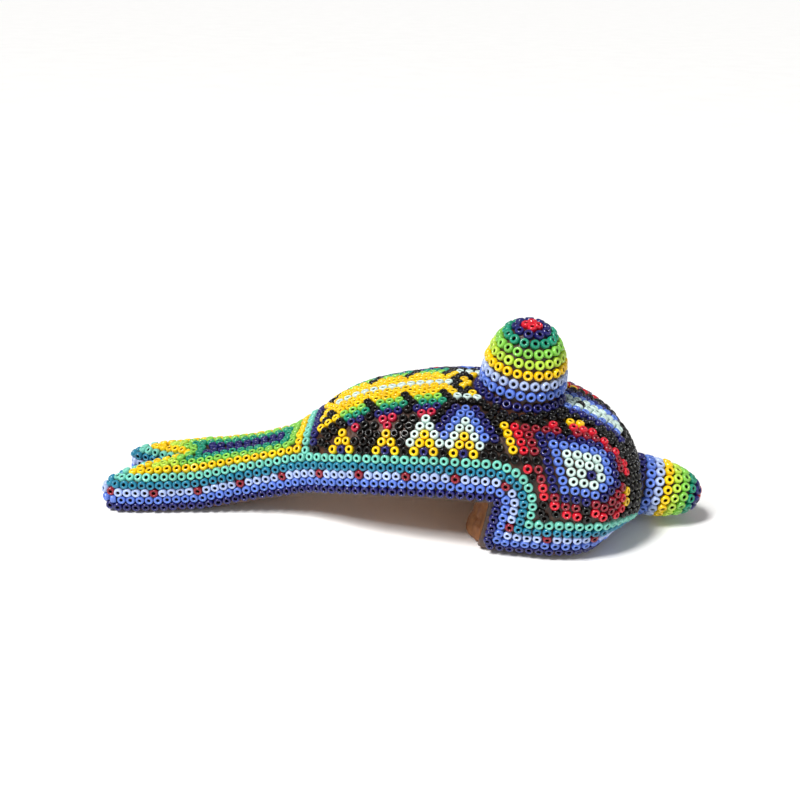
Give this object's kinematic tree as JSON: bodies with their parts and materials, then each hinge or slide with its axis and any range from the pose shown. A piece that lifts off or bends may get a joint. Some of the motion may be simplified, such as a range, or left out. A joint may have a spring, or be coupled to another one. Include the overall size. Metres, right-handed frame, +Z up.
{
  "type": "beaded dolphin figure",
  "caption": "Small carved wooden dolphin figure, coated with beeswax and covered all over with courses of coloured glass seed beads; stands on its tail and flippers.",
  "frame": {"origin": "on the ground plane, under the middle of the figure's bounding box", "axes": "+X towards the beak, +Y towards the figure's left side, +Z up"},
  "size_m": [0.14, 0.0484, 0.0479],
  "materials": {
    "wood": "bare carved softwood, lightly oiled",
    "beeswax": "dark campeche beeswax, waxy satin",
    "bead_navy": "glossy opaque seed bead glass",
    "bead_blue": "glossy opaque seed bead glass",
    "bead_pale": "glossy opaque seed bead glass",
    "bead_teal": "glossy opaque seed bead glass",
    "bead_turquoise": "glossy opaque seed bead glass",
    "bead_yellow": "glossy opaque seed bead glass",
    "bead_yellow_green": "glossy opaque seed bead glass",
    "bead_lime": "glossy opaque seed bead glass",
    "bead_green": "glossy opaque seed bead glass",
    "bead_red": "glossy opaque seed bead glass",
    "bead_dark_red": "glossy opaque seed bead glass",
    "bead_crimson": "glossy opaque seed bead glass",
    "bead_white": "glossy opaque seed bead glass",
    "bead_black": "glossy opaque seed bead glass"
  },
  "bodies": {
    "root": {"back_greens_left": "bead_green", "back_greens_right": "bead_green", "back_ridge_white": "bead_white", "back_yellow_left": "bead_yellow", "back_yellow_right": "bead_yellow", "beak_ring_1_navy": "bead_navy", "beak_ring_2_blue": "bead_blue", "beak_ring_3_pale": "bead_pale", "beak_ring_4_yellow": "bead_yellow", "beak_ring_5_yellowGreen": "bead_yellow_green", "beak_ring_6_lime": "bead_lime", "beak_ring_7_green": "bead_green", "beak_ring_8_navy": "bead_navy", "beak_tip_red": "bead_red", "border_blue_left": "bead_blue", "border_blue_right": "bead_blue", "border_navy_left": "bead_navy", "border_navy_right": "bead_navy", "border_pale_left": "bead_pale", "border_pale_right": "bead_pale", "border_teal_left": "bead_teal", "border_teal_right": "bead_teal", "border_turquoise_left": "bead_turquoise", "border_turquoise_right": "bead_turquoise", "crown_white": "bead_white", "eye_blue_left": "bead_blue", "eye_blue_right": "bead_blue", "eye_navy_left": "bead_navy", "eye_navy_right": "bead_navy", "eye_red_left": "bead_red", "eye_red_right": "bead_red", "eye_white_left": "bead_white", "eye_white_right": "bead_white", "fin_ring_1_navy": "bead_navy", "fin_ring_2_blue": "bead_blue", "fin_ring_3_pale": "bead_pale", "fin_ring_4_yellow": "bead_yellow", "fin_ring_5_yellowGreen": "bead_yellow_green", "fin_ring_6_lime": "bead_lime", "fin_ring_7_green": "bead_green", "fin_ring_8_navy": "bead_navy", "fin_tip_red": "bead_red", "head_black": "bead_black", "ring_across_navy": "bead_navy", "ring_across_turquoise": "bead_turquoise", "side_panel_left": "bead_black", "side_panel_right": "bead_black", "tail_top_green": "bead_green", "tail_top_lime": "bead_lime", "tail_top_navy": "bead_navy", "tail_top_yellow": "bead_yellow", "wax_beak": "beeswax", "wax_fin": "beeswax", "wax_head": "beeswax", "wax_tail": "beeswax", "wax_torso": "beeswax", "wood_body": "wood"}
  },
  "joints": []
}
